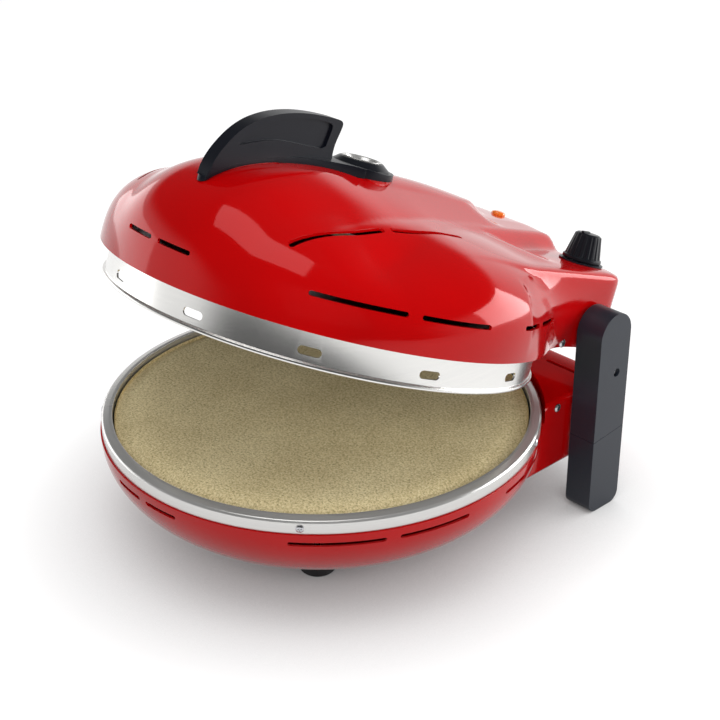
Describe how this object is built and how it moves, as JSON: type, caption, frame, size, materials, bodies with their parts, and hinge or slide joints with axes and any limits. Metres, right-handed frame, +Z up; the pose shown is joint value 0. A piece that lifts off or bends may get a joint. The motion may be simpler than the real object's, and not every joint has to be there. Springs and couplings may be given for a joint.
{
  "type": "electric pizza maker",
  "caption": "Round countertop pizza oven: a red bowl with a baking stone, a hinged red dome lid with a fin handle, side arms and a control knob.",
  "frame": {"origin": "centre of the bounding box's underside, on the surface that the oven stands on", "axes": "+Z up, front (the side that the lid opens to) faces -Y, hinge at +Y, +X towards the arm on the knob's side"},
  "size_m": [0.344, 0.3812, 0.3392],
  "materials": {
    "red_paint": "gloss",
    "polished_steel": "polished",
    "stone": "rough fired stone",
    "aluminium_sheet": "bright",
    "heater_steel": "dark oxidised",
    "zinc_steel": "satin",
    "black_plastic": "satin",
    "black_rubber": "matt",
    "light_plastic": "matt",
    "amber_lens": "gloss",
    "clear_glass": "clear"
  },
  "bodies": {
    "base": {"base_shell": "red_paint", "base_band": "polished_steel", "reflector_dish": "aluminium_sheet", "dish_standoffs": "zinc_steel", "baking_stone": "stone", "lower_heating_element": "heater_steel", "lower_element_supports": "zinc_steel", "terminal_block": "light_plastic", "feet": "black_rubber", "foot_screws": "zinc_steel", "band_screws": "polished_steel", "tail_screws": "polished_steel", "cable_gland": "black_plastic", "arm_frame_right": "zinc_steel", "arm_frame_left": "zinc_steel", "arm_cover_upper_right": "black_plastic", "arm_cover_lower_right": "black_plastic", "arm_cover_upper_left": "black_plastic", "arm_cover_lower_left": "black_plastic", "arm_bolts": "zinc_steel", "arm_screws": "zinc_steel"},
    "hinge_carriage": {"hinge_rod": "zinc_steel", "slide_blocks": "light_plastic", "rod_clips": "zinc_steel"},
    "lid": {"lid_shell": "red_paint", "lid_band": "polished_steel", "lid_band_screws": "polished_steel", "lid_tail_cover": "red_paint", "lid_reflector": "aluminium_sheet", "upper_heating_element": "heater_steel", "upper_element_clips": "zinc_steel", "hinge_brackets": "zinc_steel", "lid_side_screws": "polished_steel", "thermostat_body": "light_plastic", "thermostat_bracket": "zinc_steel", "dial_plate": "black_plastic", "pilot_lamp_lens": "amber_lens", "pilot_lamp_body": "light_plastic", "handle_plate": "black_plastic", "handle_fin": "black_plastic", "handle_screws": "zinc_steel", "sight_bezel": "black_plastic", "sight_glass": "clear_glass", "sight_retainer": "polished_steel"},
    "knob": {"thermostat_knob": "black_plastic", "knob_spindle": "zinc_steel"}
  },
  "joints": [
    {"name": "lid_lift", "type": "slide", "parent": "base", "child": "hinge_carriage", "axis": [0, 0, 1], "range_m": [-0.0113, 0]},
    {"name": "lid_hinge", "type": "hinge", "parent": "hinge_carriage", "child": "lid", "pos_m": [0, 0.1467, 0.1437], "axis": [-1, 0, 0], "range_deg": [-20.4, 69.6]},
    {"name": "knob_turn", "type": "hinge", "parent": "lid", "child": "knob", "pos_m": [0.096, 0.17058, 0.18784], "axis": [0, 0.3486, 0.9373], "range_deg": [0, 270]}
  ]
}
